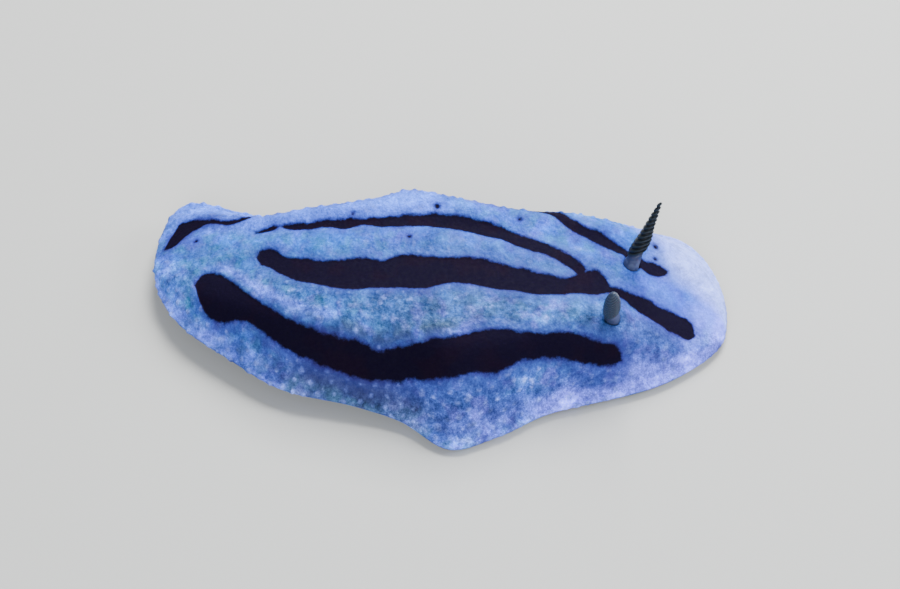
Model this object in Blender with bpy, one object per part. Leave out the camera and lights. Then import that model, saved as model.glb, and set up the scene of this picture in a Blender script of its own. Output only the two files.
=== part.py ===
# A small blue and black warty sea slug, Phyllidiopsis annae, life size, creeping on a flat floor.
# Metres, +Z up, +X towards the head, +Y to the animal's left, the floor at Z = 0.
# The shape is worked out in millimetres and scaled when a mesh is made.

import math
import random

import bmesh
import bpy
import numpy as np
from mathutils import Matrix, Vector

MM = 0.001
GAP = 0.3  # between touching pieces, mm
TAIL_X = -10.3
HEAD_X = 10.07

# The body at a few stations from tail to head, mm and degrees. "turn" is how far the
# cross-section is swung towards the head on the left side, because the head looks right.
STATION_NAMES = ("x", "y", "turn", "near", "far", "crest", "near_rim", "far_rim", "ceiling")
STATIONS = (
    (-10.3, 2.70, 3, 3.40, 5.40, 1.00, 0.75, 0.85, 0.45),
    (-9.0, 2.15, 6, 3.30, 3.75, 1.60, 0.80, 1.20, 0.80),
    (-7.2, 1.45, 8, 3.40, 3.10, 2.15, 0.80, 1.20, 1.00),
    (-4.9, 0.75, 8, 4.00, 3.90, 2.75, 0.70, 0.95, 1.05),
    (-2.5, 0.30, 4, 4.20, 4.70, 3.10, 0.60, 1.05, 1.05),
    (-1.2, 0.15, 2, 4.50, 5.30, 3.18, 0.42, 1.25, 1.05),
    (0.4, 0.02, 2, 5.40, 5.00, 3.20, 0.25, 0.95, 1.05),
    (2.3, -0.10, 4, 4.80, 4.60, 3.10, 0.25, 0.55, 1.05),
    (4.2, -0.20, 8, 3.80, 4.75, 2.85, 0.27, 0.48, 1.05),
    (6.3, -0.30, 14, 3.31, 4.75, 2.25, 0.28, 0.50, 1.05),
    (8.2, -0.40, 14, 2.82, 4.75, 1.35, 0.26, 0.45, 0.85),
    (10.2, -0.55, 14, 2.00, 3.90, 0.50, 0.25, 0.32, 0.25),
)
BLUNTNESS = 6  # how square the two ends of the outline are

# Height of the back from rim (0) to crest (1), by the share of the half width from the midline
NEAR_PROFILE = ((0, 1), (0.35, 0.975), (0.60, 0.87), (0.76, 0.51), (0.88, 0.14), (0.95, 0.035), (1, 0))
FAR_PROFILE = ((0, 1), (0.40, 0.985), (0.72, 0.89), (0.84, 0.50), (0.93, 0.16), (1, 0))
# Height of the underside from the rim's lower edge (0) to the ceiling over the foot (1)
UNDER_PROFILE = ((0, 1), (0.55, 1), (0.66, 0.90), (0.80, 0.50), (0.93, 0.05), (1, 0))
# Low ridges along the back between the black stripes: share of the half width, height
RIDGES = ((-0.36, 0.10), (0.26, 0.09), (0.60, 0.07))
RIDGE_WIDTH = 0.12  # share of the half width
RIDGE_FADE = 0.9  # share of the half length beyond which the ridges have died away
RIM_DROP = 0.17  # from the rim's outermost line down to its lower edge

BACK_SHARES = (0, 0.10, 0.20, 0.29, 0.37, 0.45, 0.53, 0.60, 0.66, 0.72, 0.78, 0.84, 0.90, 0.95, 0.98)
UNDER_SHARES = (0.97, 0.93, 0.86, 0.78, 0.70, 0.62, 0.55, 0.28, 0)
STATION_COUNT = 72
TIP_CUT = 0.0015  # share of the length left off each end, where a ring would shrink to a line
MANTLE_PIECES = (
    ("mantle_tail", TAIL_X, -3.4 - GAP / 2),
    ("mantle_middle", -3.4 + GAP / 2, 4.0 - GAP / 2),
    ("mantle_head", 4.0 + GAP / 2, HEAD_X),
)

FOOT_ENDS = (-8.7, 7.8)
FOOT_HALF_WIDTH = 2.2
FOOT_RINGS = 26
FOOT_HEADROOM = (-8.4, 7.5)  # ring stations stay inside these when they read the ceiling

GILL_STATIONS = {-1: (-8.0, 6.1), 1: (-7.54, 6.9)}  # first and last on the right and the left
GILL_PITCH = 0.92
GILL_THICKNESS = 0.52
GILL_DEPTH = 0.55
GILL_LEAN = 14  # degrees, towards the tail
GILL_ROOT = 0.20  # how far a leaflet is sunk into the mantle
GILL_OUTER_SHARE = 0.84  # of the half width
GILL_FLOOR_CLEARANCE = 0.15

# Each rhinophore's station, offset to the left, degrees forwards and outwards from upright,
# and length above the back. The right one is drawn in a little.
RHINOPHORES = {
    "rhinophore_right": (6.15, -1.10, 0.5, 19, 2.15),
    "rhinophore_left": (6.35, 1.42, 14.7, 13.6, 2.85),
}
# Radius of each club, by the share of its height
CLUBS = {
    "rhinophore_right": ((0, 0.26), (0.1, 0.31), (0.3, 0.33), (0.55, 0.30), (0.8, 0.22), (1, 0.09)),
    "rhinophore_left": ((0, 0.27), (0.1, 0.31), (0.25, 0.31), (0.42, 0.26), (0.6, 0.20), (0.8, 0.14), (1, 0.08)),
}
RHINOPHORE_SIDES = 16
STALK_SHARE = 0.22
STALK_RADIUS = 0.30
LAMELLAE = 10
LAMELLA_DEPTH = 0.055
LAMELLA_SLANT = 34  # degrees from square to the axis
POCKET_RADIUS = STALK_RADIUS + 0.26
POCKET_DEPTH = 0.45
SEAT_DEPTH = POCKET_DEPTH - GAP  # how far the stalk's flat end lies below the back

ORAL_X = 8.65
ORAL_LOBE = (0.62, 0.52, 0.26)  # half sizes of one oral tentacle
ORAL_SPREAD = 0.40
MOUTH_SLIT = (0.5, 0.12, 0.22)

PAPILLA_X = -7.7
PAPILLA_RADIUS = 0.36
PAPILLA_HEIGHT = 0.16


def smooth_through(table, x):
    """The value at x on a smooth curve through the (x, value) pairs of the table."""
    knots, values = np.array(table, float).T
    x = np.clip(x, knots[0], knots[-1])
    steps = np.diff(knots)
    rises = np.diff(values) / steps
    slopes = np.empty_like(values)
    slopes[0], slopes[-1] = rises[0], rises[-1]
    slopes[1:-1] = (rises[:-1] * steps[1:] + rises[1:] * steps[:-1]) / (steps[:-1] + steps[1:])
    i = np.clip(np.searchsorted(knots, x, side="right") - 1, 0, len(steps) - 1)
    t = (x - knots[i]) / steps[i]
    start = (1 + 2 * t) * (1 - t) ** 2 * values[i] + t * (1 - t) ** 2 * steps[i] * slopes[i]
    end = t * t * (3 - 2 * t) * values[i + 1] - t * t * (1 - t) * steps[i] * slopes[i + 1]
    return float(start + end)


def station(name, x):
    """One measure of the body at station x."""
    column = STATION_NAMES.index(name)
    return smooth_through([(row[0], row[column]) for row in STATIONS], x)


def half_width(x, side):
    """From the midline to the mantle's edge: side -1 is the near, right side, and 1 the left."""
    share = (2 * x - TAIL_X - HEAD_X) / (HEAD_X - TAIL_X)
    rounding = math.sqrt(max(1 - abs(share) ** BLUNTNESS, 0))
    return station("near" if side < 0 else "far", x) * rounding


def place(x, offset, z):
    """A point on the cross-section at station x, offset mm to the left of the midline."""
    turn = math.radians(station("turn", x))
    return Vector((x + offset * math.sin(turn), station("y", x) + offset * math.cos(turn), z))


def rim_height(x, share):
    """The rim's height, blended across the back from one side to the other."""
    blend = 0.5 + 0.5 * math.sin(math.pi / 2 * max(-1, min(1, 2 * share)))
    return station("near_rim", x) * (1 - blend) + station("far_rim", x) * blend


def back_height(x, share):
    """The back's height at a signed share of the half width."""
    rim = rim_height(x, share)
    profile = NEAR_PROFILE if share < 0 else FAR_PROFILE
    relief = sum(
        height * math.exp(-(((share - middle) / RIDGE_WIDTH) ** 2)) for middle, height in RIDGES
    )
    along = (2 * x - TAIL_X - HEAD_X) / (HEAD_X - TAIL_X) / RIDGE_FADE
    relief *= max(0, 1 - along ** 4)
    return rim + (station("crest", x) - rim) * smooth_through(profile, abs(share)) + relief


def under_height(x, share):
    """The underside's height at a signed share of the half width."""
    edge = rim_height(x, share) - RIM_DROP
    return edge + (station("ceiling", x) - edge) * smooth_through(UNDER_PROFILE, abs(share))


def share_point(x, share, z):
    return place(x, share * half_width(x, share), z)


def mantle_ring(x):
    """The mantle's outline at station x: over the back from right to left, and back beneath."""
    back = [-s for s in reversed(BACK_SHARES)] + list(BACK_SHARES[1:])
    under = list(UNDER_SHARES) + [-s for s in reversed(UNDER_SHARES[:-1])]
    ring = [share_point(x, -1, rim_height(x, -1))]
    ring += [share_point(x, s, back_height(x, s)) for s in back]
    ring += [share_point(x, 1, rim_height(x, 1))]
    ring += [share_point(x, s, under_height(x, s)) for s in under]
    return ring


def lofted(name, rings):
    """A closed mesh object through rings of like length, in millimetres, with flat ends."""
    bm = bmesh.new()
    loops = [[bm.verts.new(point * MM) for point in ring] for ring in rings]
    count = len(loops[0])
    for one, other in zip(loops, loops[1:]):
        for i in range(count):
            j = (i + 1) % count
            bm.faces.new((one[i], one[j], other[j], other[i]))
    bm.faces.new(loops[0])
    bm.faces.new(loops[-1])
    bmesh.ops.recalc_face_normals(bm, faces=bm.faces)
    return as_object(name, bm)


def as_object(name, bm):
    mesh = bpy.data.meshes.new(name)
    bm.to_mesh(mesh)
    bm.free()
    return bpy.data.objects.new(name, mesh)


def stations_between(first, last):
    """Station places, closer together where the outline rounds off, with both ends included."""
    middle, reach = (TAIL_X + HEAD_X) / 2, (HEAD_X - TAIL_X) / 2 * (1 - TIP_CUT)
    angles = [math.pi * (i / (STATION_COUNT - 1) - 0.5) for i in range(STATION_COUNT)]
    places = [middle + reach * math.sin(angle) for angle in angles]
    first, last = max(first, places[0]), min(last, places[-1])
    margin = 0.06
    inner = [x for x in places if first + margin < x < last - margin]
    return [first] + inner + [last]


def ellipsoid(name, half_sizes, segments, rings):
    bm = bmesh.new()
    bmesh.ops.create_uvsphere(bm, u_segments=segments, v_segments=rings, radius=1)
    bmesh.ops.scale(bm, vec=Vector(half_sizes) * MM, verts=bm.verts)
    return as_object(name, bm)


def gill_leaflet(x, side, draw):
    """One leaflet: a flap square to the body's line that hangs from the mantle's underside."""
    inner = foot_half_width(x) + GAP
    outer = half_width(x, side) * GILL_OUTER_SHARE
    offset = (inner + outer) / 2
    z = under_height(x, side * offset / half_width(x, side))
    depth = min(GILL_DEPTH * draw.uniform(0.88, 1.12), z - GILL_FLOOR_CLEARANCE)
    reach = (outer - inner) / 2 * draw.uniform(0.86, 1.0)
    leaflet = ellipsoid("leaflet", (GILL_THICKNESS / 2, reach, depth), 6, 5)
    for vertex in leaflet.data.vertices:
        if vertex.co.z > 0:
            vertex.co.z *= GILL_ROOT / depth
    turn = Matrix.Rotation(-math.radians(station("turn", x)), 4, "Z")
    lean = Matrix.Rotation(math.radians(GILL_LEAN * draw.uniform(0.6, 1.4)), 4, "Y")
    leaflet.data.transform(Matrix.Translation(place(x, side * offset, z) * MM) @ turn @ lean)
    return leaflet


def foot_half_width(x):
    """The foot's half width, with a rounded front and a long tapering tail."""
    back, front = FOOT_ENDS
    share = (x - back) / (front - back)
    if share <= 0 or share >= 1:
        return 0.0
    return FOOT_HALF_WIDTH * min(1, (share / 0.35) ** 0.6) * math.sqrt(1 - share ** 9)


def foot_ring(x):
    """A flat sole with a thin spreading edge and a top just under the mantle's ceiling."""
    back, front = FOOT_HEADROOM
    top = station("ceiling", max(back, min(front, x))) - GAP
    half = foot_half_width(x)
    edge = min(0.12, 0.3 * half)
    side = [(half - edge, 0), (half, edge), (0.95 * half, 2.2 * edge)]
    side += [(0.88 * half, 0.6 * top), (0.80 * half, top)]
    left = [place(x, offset, z) for offset, z in side]
    right = [place(x, -offset, z) for offset, z in reversed(side)]
    return left + [place(x, 0, top)] + right + [place(x, 0, 0)]


def foot():
    back, front = FOOT_ENDS
    steps = [0.5 - 0.5 * math.cos(math.pi * i / FOOT_RINGS) for i in range(1, FOOT_RINGS)]
    return lofted("foot", [foot_ring(back + (front - back) * step) for step in steps])


def rhinophore_axis(name):
    """Where a rhinophore leaves the back, and the direction in which it stands, in mm."""
    x, offset, lean, splay, _ = RHINOPHORES[name]
    side = math.copysign(1, offset)
    root = place(x, offset, back_height(x, offset / half_width(x, side)))
    turn = math.radians(station("turn", x))
    forward = Vector((math.cos(turn), -math.sin(turn), 0))
    outward = Vector((math.sin(turn), math.cos(turn), 0)) * side
    tilt = forward * math.tan(math.radians(lean))
    tilt += outward * math.tan(math.radians(splay))
    return root, (Vector((0, 0, 1)) + tilt).normalized()


def on_axis(name, start):
    """The transform that stands a piece on a rhinophore's axis, start mm above the back."""
    root, axis = rhinophore_axis(name)
    aim = axis.to_track_quat("Z", "Y").to_matrix().to_4x4()
    return Matrix.Translation((root + axis * start) * MM) @ aim


def rhinophore_radius(name, share):
    """A plain stalk, then a club that swells and tapers to a blunt tip."""
    if share < STALK_SHARE:
        return STALK_RADIUS * (1 - 0.15 * share / STALK_SHARE)
    return smooth_through(CLUBS[name], (share - STALK_SHARE) / (1 - STALK_SHARE))


def rhinophore(name):
    """A stalk and a club whose lamellae are slanting ridges around it."""
    length = RHINOPHORES[name][-1] + SEAT_DEPTH
    shares = [0.0, STALK_SHARE * 0.5, STALK_SHARE * 0.9]
    steps = 2 * LAMELLAE
    shares += [STALK_SHARE + (1 - STALK_SHARE) * i / steps for i in range(steps + 1)]
    rings = []
    for number, share in enumerate(shares):
        groove = number > 3 and number % 2 == 0 and number < len(shares) - 1
        radius = rhinophore_radius(name, share) - (LAMELLA_DEPTH if groove else 0)
        slant = math.tan(math.radians(LAMELLA_SLANT)) * min(1, share / STALK_SHARE)
        ring = []
        for i in range(RHINOPHORE_SIDES):
            angle = 2 * math.pi * i / RHINOPHORE_SIDES
            x, y = radius * math.cos(angle), radius * math.sin(angle)
            ring.append(Vector((x, y, share * length + x * slant)))
        rings.append(ring)
    body = lofted(name, rings)
    body.data.transform(on_axis(name, -SEAT_DEPTH))
    return body


def pocket(name):
    """The round pocket in the mantle that a rhinophore stands in."""
    bm = bmesh.new()
    height = 1.5
    bmesh.ops.create_cone(
        bm,
        cap_ends=True,
        segments=RHINOPHORE_SIDES,
        radius1=POCKET_RADIUS * MM,
        radius2=POCKET_RADIUS * MM,
        depth=height * MM,
    )
    cutter = as_object(name + "_pocket", bm)
    cutter.data.transform(on_axis(name, height / 2 - POCKET_DEPTH))
    return cutter


def anal_papilla():
    """A low dome on the midline near the tail."""
    dome = ellipsoid("papilla", (PAPILLA_RADIUS, PAPILLA_RADIUS, 2 * PAPILLA_HEIGHT), 10, 8)
    height = back_height(PAPILLA_X, 0) - PAPILLA_HEIGHT
    dome.data.transform(Matrix.Translation(place(PAPILLA_X, 0, height) * MM))
    return dome


def oral_tentacles():
    """Two flat lobes fused along the middle, with the slit of the mouth in front."""
    long, wide, deep = ORAL_LOBE
    turn = Matrix.Rotation(-math.radians(station("turn", ORAL_X)), 4, "Z")
    lobes = []
    for side in (-1, 1):
        lobe = ellipsoid("lobe", ORAL_LOBE, 12, 8)
        lobe.data.transform(Matrix.Translation(Vector((0, side * ORAL_SPREAD, deep + 0.04)) * MM))
        lobes.append(lobe)
    slit = ellipsoid("mouth", MOUTH_SLIT, 8, 6)
    slit.data.transform(Matrix.Translation(Vector((long, 0, deep)) * MM))
    joined(lobes[0], lobes[1:])
    combined(lobes[0], [slit], "DIFFERENCE", "EXACT")
    lobes[0].data.transform(Matrix.Translation(place(ORAL_X, 0, 0) * MM) @ turn)
    lobes[0].name = "oral_tentacles"
    return lobes[0]


def combined(body, others, operation, solver):
    """Applies one Boolean of a collection of closed meshes to the body, and removes them."""
    group = bpy.data.collections.new("pieces of " + body.name)
    bpy.context.scene.collection.children.link(group)
    bpy.context.scene.collection.objects.link(body)
    for other in others:
        group.objects.link(other)
    modifier = body.modifiers.new(operation.lower(), "BOOLEAN")
    modifier.operation = operation
    modifier.operand_type = "COLLECTION"
    modifier.collection = group
    modifier.solver = solver
    graph = bpy.context.evaluated_depsgraph_get()
    mesh = bpy.data.meshes.new_from_object(body.evaluated_get(graph))
    body.modifiers.clear()
    body.data = mesh
    for other in others:
        bpy.data.objects.remove(other)
    bpy.data.collections.remove(group)
    bpy.context.scene.collection.objects.unlink(body)
    keep_largest(mesh)


def joined(body, others):
    combined(body, others, "UNION", "EXACT")


def keep_largest(mesh):
    """Keeps only the largest closed surface of a mesh, by volume."""
    bm = bmesh.new()
    bm.from_mesh(mesh)
    left, shells = set(bm.faces), []
    while left:
        shell, edge = set(), [left.pop()]
        while edge:
            face = edge.pop()
            shell.add(face)
            for loop in face.loops:
                fresh = [f for f in loop.edge.link_faces if f in left]
                left.difference_update(fresh)
                edge.extend(fresh)
        shells.append(shell)
    shells.sort(key=lambda shell: sum(face.calc_area() for face in shell))
    scraps = [face for shell in shells[:-1] for face in shell]
    bmesh.ops.delete(bm, geom=scraps, context="FACES")
    bm.to_mesh(mesh)
    bm.free()


def material(name, colour, roughness):
    """A plain finish, its colour given as display red, green and blue from 0 to 255."""
    made = bpy.data.materials.new(name)
    made.use_nodes = True
    shader = made.node_tree.nodes["Principled BSDF"]
    shader.inputs["Base Color"].default_value = [(part / 255) ** 2.2 for part in colour] + [1]
    shader.inputs["Roughness"].default_value = roughness
    shader.inputs["Metallic"].default_value = 0
    return made


def mantle(draw):
    """The mantle in three lengths, each with the gill leaflets that hang under it."""
    pieces = {}
    for name, first, last in MANTLE_PIECES:
        body = lofted(name, [mantle_ring(x) for x in stations_between(first, last)])
        grown = []
        for side, (x, end) in GILL_STATIONS.items():
            while x < end:
                if first + GILL_THICKNESS < x < last - GILL_THICKNESS:
                    grown.append(gill_leaflet(x, side, draw))
                x += GILL_PITCH
        if first < PAPILLA_X < last:
            grown.append(anal_papilla())
        joined(body, grown)
        pieces[name] = body
    pockets = [pocket(name) for name in RHINOPHORES]
    combined(pieces["mantle_head"], pockets, "DIFFERENCE", "EXACT")
    return list(pieces.values())


def main():
    for old in list(bpy.data.objects):
        bpy.data.objects.remove(old)
    collection = bpy.data.collections.new("blue and black sea slug")
    bpy.context.scene.collection.children.link(collection)
    draw = random.Random(7)
    finishes = {
        "mantle": material("mantle skin", (125, 160, 214), 0.42),
        "foot": material("foot skin", (150, 158, 186), 0.45),
        "oral": material("oral skin", (160, 165, 195), 0.45),
        "rhinophore": material("rhinophore skin", (33, 44, 52), 0.5),
    }
    nodes = mantle(draw) + [foot(), oral_tentacles()]
    nodes += [rhinophore(name) for name in RHINOPHORES]
    for node in nodes:
        node.data.materials.clear()
        node.data.materials.append(finishes[node.name.split("_")[0]])
        collection.objects.link(node)
        node.data.shade_smooth()
        node.data.set_sharp_from_angle(angle=math.radians(40))


main()
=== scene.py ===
# %% [markdown]
# # A small sea slug, life size
# This lesson dresses a packed construction model of a blue and black warty sea slug.
# The real animal is about 20 mm long: a soft cloak, the mantle, lies over a flat creeping foot,
# and two club-shaped feelers, the rhinophores, stand up from the head.
# The construction model gives the true sizes. This script gives the skin, the markings and the light.

# %% Load the model that everything is fitted to
import math
import random

import bmesh
import bpy
import numpy as np
from mathutils import Matrix, Vector
from mathutils.kdtree import KDTree


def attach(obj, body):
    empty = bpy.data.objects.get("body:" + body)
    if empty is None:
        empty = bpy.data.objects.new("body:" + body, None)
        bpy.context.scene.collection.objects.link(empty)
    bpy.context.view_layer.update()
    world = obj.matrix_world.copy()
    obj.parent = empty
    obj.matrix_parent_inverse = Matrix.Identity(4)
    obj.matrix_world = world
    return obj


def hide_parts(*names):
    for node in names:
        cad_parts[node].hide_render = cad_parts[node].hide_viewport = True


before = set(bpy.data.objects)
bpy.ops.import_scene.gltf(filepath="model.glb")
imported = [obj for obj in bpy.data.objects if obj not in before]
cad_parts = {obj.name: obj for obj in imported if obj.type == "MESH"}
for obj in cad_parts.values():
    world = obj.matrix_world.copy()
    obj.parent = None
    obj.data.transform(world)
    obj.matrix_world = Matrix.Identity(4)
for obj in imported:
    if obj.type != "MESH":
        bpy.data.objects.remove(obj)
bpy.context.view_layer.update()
MM = 0.001
print("nodes:", sorted(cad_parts))

# %% [markdown]
# ## The plan of the body
# A soft body has no straight lines to measure from, so it is described like a ship's hull: a few
# stations from tail to head, each with the midline's place, the half widths and some heights.
# A smooth curve through the stations gives every place in between. The construction model uses the
# same stations, so the skin lies where its solids lie. All values are millimetres and degrees.

# %% Stations from tail to head, and a smooth curve through them
TAIL_X = -10.3
HEAD_X = 10.07
BLUNTNESS = 6
STATION_NAMES = ("x", "y", "turn", "near", "far", "crest", "near_rim", "far_rim", "ceiling")
STATIONS = (
    (-10.3, 2.70, 3, 3.40, 5.40, 1.00, 0.75, 0.85, 0.45),
    (-9.0, 2.15, 6, 3.30, 3.75, 1.60, 0.80, 1.20, 0.80),
    (-7.2, 1.45, 8, 3.40, 3.10, 2.15, 0.80, 1.20, 1.00),
    (-4.9, 0.75, 8, 4.00, 3.90, 2.75, 0.70, 0.95, 1.05),
    (-2.5, 0.30, 4, 4.20, 4.70, 3.10, 0.60, 1.05, 1.05),
    (-1.2, 0.15, 2, 4.50, 5.30, 3.18, 0.42, 1.25, 1.05),
    (0.4, 0.02, 2, 5.40, 5.00, 3.20, 0.25, 0.95, 1.05),
    (2.3, -0.10, 4, 4.80, 4.60, 3.10, 0.25, 0.55, 1.05),
    (4.2, -0.20, 8, 3.80, 4.75, 2.85, 0.27, 0.48, 1.05),
    (6.3, -0.30, 14, 3.31, 4.75, 2.25, 0.28, 0.50, 1.05),
    (8.2, -0.40, 14, 2.82, 4.75, 1.35, 0.26, 0.45, 0.85),
    (10.2, -0.55, 14, 2.00, 3.90, 0.50, 0.25, 0.32, 0.25),
)


def smooth_through(table, x):
    """The values at x on a smooth curve through the (x, value) pairs of the table."""
    knots, values = np.array(table, float).T
    x = np.clip(x, knots[0], knots[-1])
    steps = np.diff(knots)
    rises = np.diff(values) / steps
    slopes = np.empty_like(values)
    slopes[0], slopes[-1] = rises[0], rises[-1]
    slopes[1:-1] = (rises[:-1] * steps[1:] + rises[1:] * steps[:-1]) / (steps[:-1] + steps[1:])
    i = np.clip(np.searchsorted(knots, x, side="right") - 1, 0, len(steps) - 1)
    t = (x - knots[i]) / steps[i]
    start = (1 + 2 * t) * (1 - t) ** 2 * values[i] + t * (1 - t) ** 2 * steps[i] * slopes[i]
    end = t * t * (3 - 2 * t) * values[i + 1] - t * t * (1 - t) * steps[i] * slopes[i + 1]
    return start + end


def station(name, x):
    """One measure of the body at the stations x."""
    column = STATION_NAMES.index(name)
    return smooth_through([(row[0], row[column]) for row in STATIONS], x)


def half_share(x):
    """Where x lies along the body, from -1 at the tail to 1 at the head."""
    return np.clip((2 * x - TAIL_X - HEAD_X) / (HEAD_X - TAIL_X), -1, 1)


def half_width(x, share):
    """From the midline to the rim, on the near (right) side for a negative share."""
    rounding = np.sqrt(1 - np.abs(half_share(x)) ** BLUNTNESS)
    return np.where(share < 0, station("near", x), station("far", x)) * rounding


def place(x, offset, z):
    """Points on the cross-sections at stations x, offset mm to the left of the midline."""
    turn = np.radians(station("turn", x))
    y = station("y", x) + offset * np.cos(turn)
    return np.stack([x + offset * np.sin(turn), y, np.broadcast_to(z, np.shape(x))], -1)


print("crest height over the foot's middle:", float(station("crest", 0.0)), "mm")

# %% [markdown]
# ## Camera, floor and light
# The photograph looks down on the animal from its right side at about 50 degrees, from close by.
# A long lens keeps the small body free of strong perspective. The floor is a plain pale sheet, and
# three soft area lights make a studio: a broad one above and behind, a weaker one by the camera,
# and a low one beside the head. Light from behind leaves the near flank darker, as in the
# photograph, and rakes over the fine relief.

# %% Camera
LENS = 80
ELEVATION = 50
DISTANCE = 69.7
AIM = Vector((0.35, 0.0, 1.92))
CLIP_START = 0.001


def add_object(name, data):
    """A new object that holds this data, linked into the scene."""
    made = bpy.data.objects.new(name, data)
    bpy.context.scene.collection.objects.link(made)
    return made


camera_data = bpy.data.cameras.new("camera")
camera_data.lens = LENS
camera_data.clip_start = CLIP_START
camera = add_object("camera", camera_data)
back_off = Vector((0, -math.cos(math.radians(ELEVATION)), math.sin(math.radians(ELEVATION))))
camera.location = (AIM + back_off * DISTANCE) * MM
camera.rotation_euler = back_off.to_track_quat("Z", "Y").to_euler()
bpy.context.scene.camera = camera
print("camera stands at mm", [round(c / MM, 1) for c in camera.location])

# %% Floor, lights and a pale room
FLOOR_SIZE = 2.0
FLOOR_COLOUR = (0.435, 0.428, 0.407, 1)
FLOOR_ROUGHNESS = 0.8
ROOM_COLOUR = (0.80, 0.85, 0.92, 1)
ROOM_STRENGTH = 0.50
# Place and size in mm, power in watts, colour
LIGHTS = {
    "key": ((25, 75, 95), 70, 0.44, (0.97, 0.99, 1.0)),
    "fill": ((-20, -110, 70), 90, 0.20, (0.90, 0.95, 1.0)),
    "head": ((110, 10, 60), 50, 0.15, (0.86, 0.92, 1.0)),
}


def add_light(name, place_mm, size_mm, power, colour):
    """A soft square light that looks at the animal."""
    data = bpy.data.lights.new(name, "AREA")
    data.size = size_mm * MM
    data.energy = power
    data.color = colour
    lamp = add_object(name, data)
    lamp.location = Vector(place_mm) * MM
    lamp.rotation_euler = lamp.location.to_track_quat("Z", "Y").to_euler()


def mesh_from(bm, name, smooth=True):
    """The bmesh as a mesh, smooth or flat, after which the bmesh is freed."""
    mesh = bpy.data.meshes.new(name)
    bm.to_mesh(mesh)
    bm.free()
    mesh.polygons.foreach_set("use_smooth", np.full(len(mesh.polygons), smooth))
    return mesh


for light_name, light in LIGHTS.items():
    add_light(light_name, *light)

world = bpy.data.worlds.new("room")
world.use_nodes = True
world.node_tree.nodes["Background"].inputs["Color"].default_value = ROOM_COLOUR
world.node_tree.nodes["Background"].inputs["Strength"].default_value = ROOM_STRENGTH
bpy.context.scene.world = world

bm = bmesh.new()
bmesh.ops.create_grid(bm, x_segments=2, y_segments=2, size=FLOOR_SIZE / 2)
floor_mesh = mesh_from(bm, "floor", smooth=False)
floor = add_object("floor", floor_mesh)
floor_finish = bpy.data.materials.new("pale floor")
floor_finish.use_nodes = True
floor_shader = floor_finish.node_tree.nodes["Principled BSDF"]
floor_shader.inputs["Base Color"].default_value = FLOOR_COLOUR
floor_shader.inputs["Roughness"].default_value = FLOOR_ROUGHNESS
floor_mesh.materials.append(floor_finish)
print("floor", floor.dimensions[:2])

# %% [markdown]
# ## The section over the back
# Cut across, the real mantle is a low loaf: a broad back, steep flanks and a thin rim that spreads
# outwards. Low ridges run along the back, and the black stripes lie in the furrows between them.
# One function gives the height for any place, so ridges, furrows and rim stay one surface.
# The rim itself turns under in a small round, which a height alone can't give, so the last few
# rows of the grid walk round a quarter circle.

# %% Heights of the back and the rim
NEAR_PROFILE = ((0, 1), (0.35, 0.975), (0.60, 0.87), (0.76, 0.51), (0.88, 0.14), (0.95, 0.035), (1, 0))
FAR_PROFILE = ((0, 1), (0.40, 0.985), (0.72, 0.89), (0.84, 0.50), (0.93, 0.16), (1, 0))
RIDGES = ((-0.36, 0.10), (0.26, 0.09), (0.60, 0.07))
RIDGE_WIDTH = 0.12
RIDGE_FADE = 0.9
RIM_RADIUS = 0.15
RIM_DROP = 0.17
RIM_START = 0.955
END_ROUNDING = 40
TINY = 1e-6


def bell(values, middle, reach):
    """1 at the middle, falling off like a bell."""
    return np.exp(-(((values - middle) / reach) ** 2))


def end_rounding(x):
    """1 along the body, falling to 0 at both tips, so that the back rolls down to the rim."""
    return np.sqrt(1 - np.abs(half_share(x)) ** END_ROUNDING)


def rim_height(x, share):
    """The rim's height, blended across the back and level at the tips."""
    blend = 0.5 + 0.5 * np.sin(np.pi / 2 * np.clip(2 * share, -1, 1))
    blend = 0.5 + (blend - 0.5) * end_rounding(x)
    return station("near_rim", x) * (1 - blend) + station("far_rim", x) * blend


def back_height(x, share):
    """The back's height at signed shares of the half width."""
    rim = rim_height(x, share)
    size = np.abs(share)
    profile = np.where(share < 0, smooth_through(NEAR_PROFILE, size), smooth_through(FAR_PROFILE, size))
    relief = sum(h * bell(share, middle, RIDGE_WIDTH) for middle, h in RIDGES)
    relief = relief * np.maximum(0, 1 - (half_share(x) / RIDGE_FADE) ** 4)
    return rim + (station("crest", x) - rim) * profile * end_rounding(x) + relief


def back_points(x, across):
    """Points over the back for a grid value across, from -1 at the right rim to 1 at the left."""
    side, size = np.sign(across), np.abs(across)
    wide = half_width(x, across)
    radius = np.minimum(RIM_RADIUS, 0.5 * wide)
    last = side * (1 - radius / np.maximum(wide, TINY))
    share = last * np.minimum(size / RIM_START, 1)
    turn = np.clip((size - RIM_START) / (1 - RIM_START), 0, 1) * np.pi / 2
    offset = share * wide + side * radius * np.sin(turn)
    rim = rim_height(x, across)
    height = np.where(size > RIM_START, rim + (back_height(x, last) - rim) * np.cos(turn),
                      back_height(x, share))
    return offset, height, share


offset_check, height_check, _ = back_points(np.array([0.0, 0.0]), np.array([-1.0, 0.0]))
print("rim and crest at the middle:", offset_check.round(2), height_check.round(2))

# %% [markdown]
# ## The section underneath
# Under the rim the real animal has a groove between the mantle and the foot, where the gill
# leaflets hang, and the foot is a flat sole with a thin spreading edge. The grid walks from the
# rim up the underside, down the side of the foot, round its edge and along the sole.
# Where the foot has ended, near both tips, the same rows follow the plain underside instead.

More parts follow.
